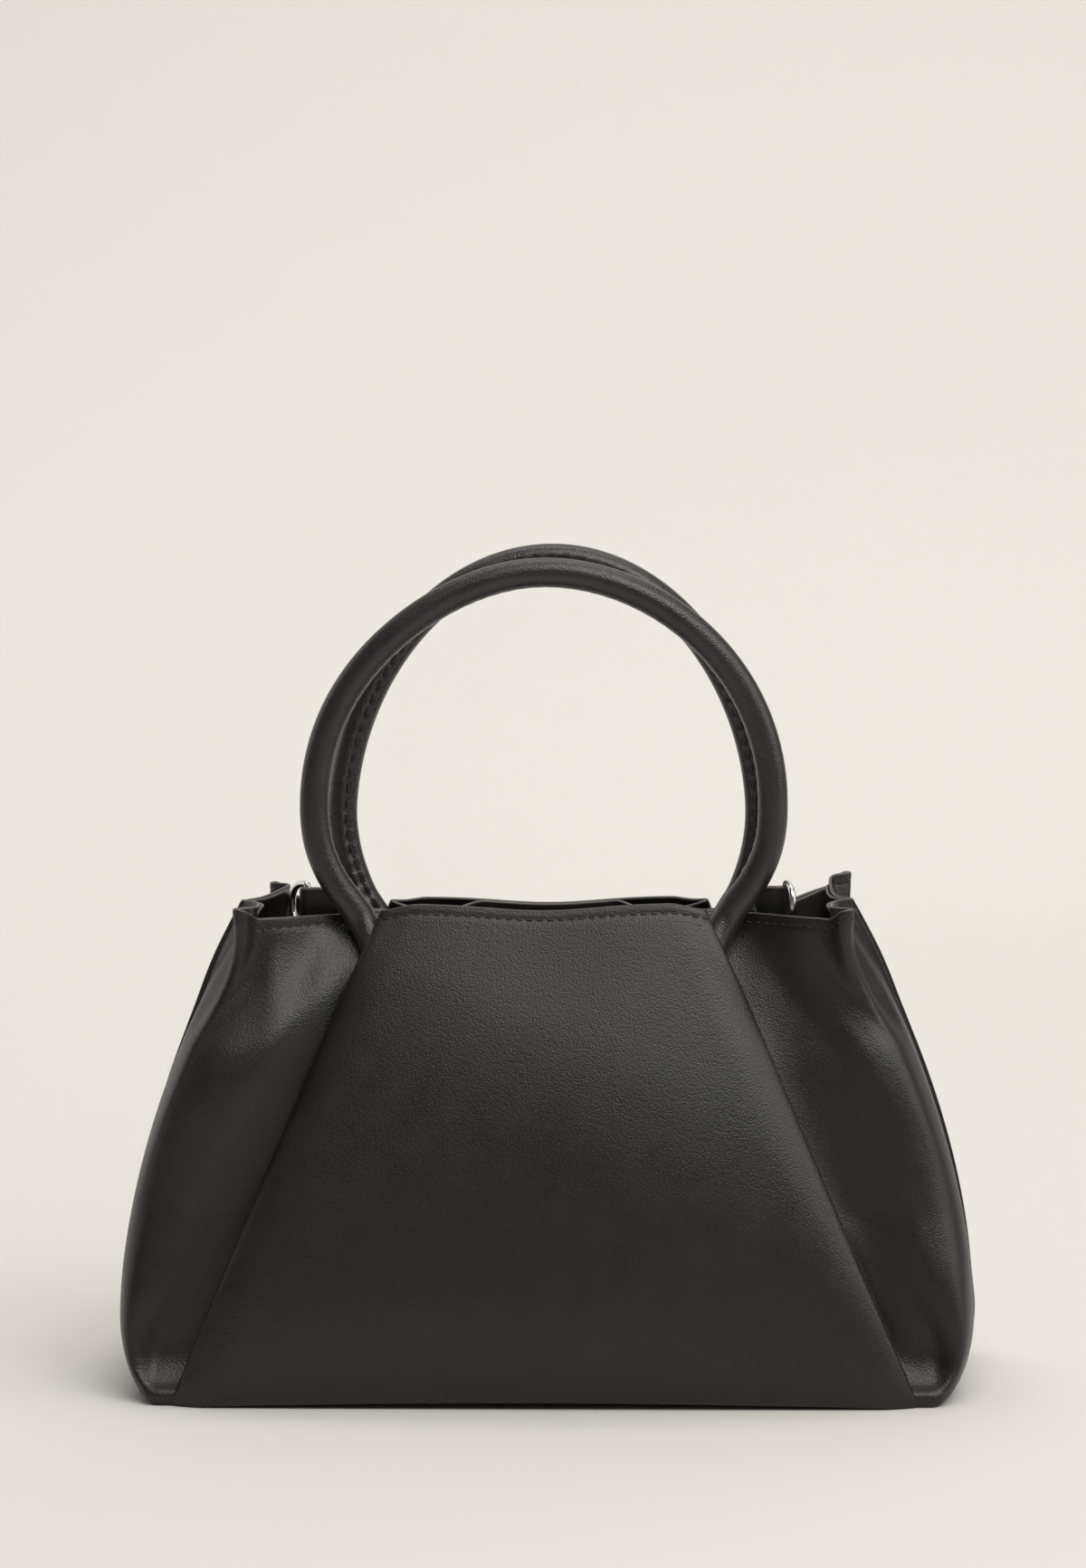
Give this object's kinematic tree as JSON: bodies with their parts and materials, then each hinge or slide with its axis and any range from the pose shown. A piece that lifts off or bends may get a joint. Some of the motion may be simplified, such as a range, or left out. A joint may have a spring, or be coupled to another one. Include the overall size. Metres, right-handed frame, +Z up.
{
  "type": "tote bag",
  "caption": "Small structured leather tote with a pleated trapezoid front, pinched side gussets, rolled ring handles, a zipped centre pocket and strap rings at the mouth.",
  "frame": {"origin": "on the floor under the middle of the bag", "axes": "+Z up, front panel towards -Y, +X along the width to the right as seen from the front"},
  "size_m": [0.2804, 0.1152, 0.2781],
  "materials": {
    "leather": "satin, fine grain",
    "lining": "matte weave",
    "cord": "matte twisted",
    "board": "matte",
    "zip_tape": "matte weave",
    "metal": "polished"
  },
  "bodies": {
    "bag": {"front_panel": "leather", "back_panel": "leather", "front_facing": "leather", "back_facing": "leather", "front_lining": "lining", "back_lining": "lining", "base_panel": "leather", "base_board": "board", "lining_floor": "lining", "front_right_handle_end": "leather", "front_left_handle_end": "leather", "rear_left_handle_end": "leather", "rear_right_handle_end": "leather", "pocket_front_wall": "lining", "pocket_back_wall": "lining", "pocket_right_edge": "lining", "pocket_left_edge": "lining", "right_tab": "leather", "left_tab": "leather", "zip_front_tape": "zip_tape", "zip_back_tape": "zip_tape", "zip_closed_stop": "metal", "zip_open_stop": "metal"},
    "front_handle": {"front_handle_cover": "leather", "front_handle_core": "cord"},
    "rear_handle": {"rear_handle_cover": "leather", "rear_handle_core": "cord"},
    "right_strap_ring": {"right_ring": "metal"},
    "left_strap_ring": {"left_ring": "metal"},
    "slider": {"zip_slider": "metal"},
    "pull": {"zip_pull": "metal"}
  },
  "joints": [
    {"name": "front_handle_fold", "type": "hinge", "parent": "bag", "child": "front_handle", "pos_m": [0, -0.01357, 0.16], "axis": [1, 0, 0], "range_deg": [-4, 130]},
    {"name": "rear_handle_fold", "type": "hinge", "parent": "bag", "child": "rear_handle", "pos_m": [0, 0.01357, 0.16], "axis": [-1, 0, 0], "range_deg": [-4, 130]},
    {"name": "right_ring_swing", "type": "hinge", "parent": "bag", "child": "right_strap_ring", "pos_m": [0.0795, 0, 0.159], "axis": [0, 0, 1], "range_deg": [0, 150]},
    {"name": "left_ring_swing", "type": "hinge", "parent": "bag", "child": "left_strap_ring", "pos_m": [-0.0795, 0, 0.159], "axis": [0, 0, 1], "range_deg": [0, 150]},
    {"name": "zip_run", "type": "slide", "parent": "bag", "child": "slider", "axis": [-1, 0, 0], "range_m": [0, 0.074]},
    {"name": "pull_lift", "type": "hinge", "parent": "slider", "child": "pull", "pos_m": [0.0412, 0, 0.1559], "axis": [0, 1, 0], "range_deg": [0, 140]}
  ]
}
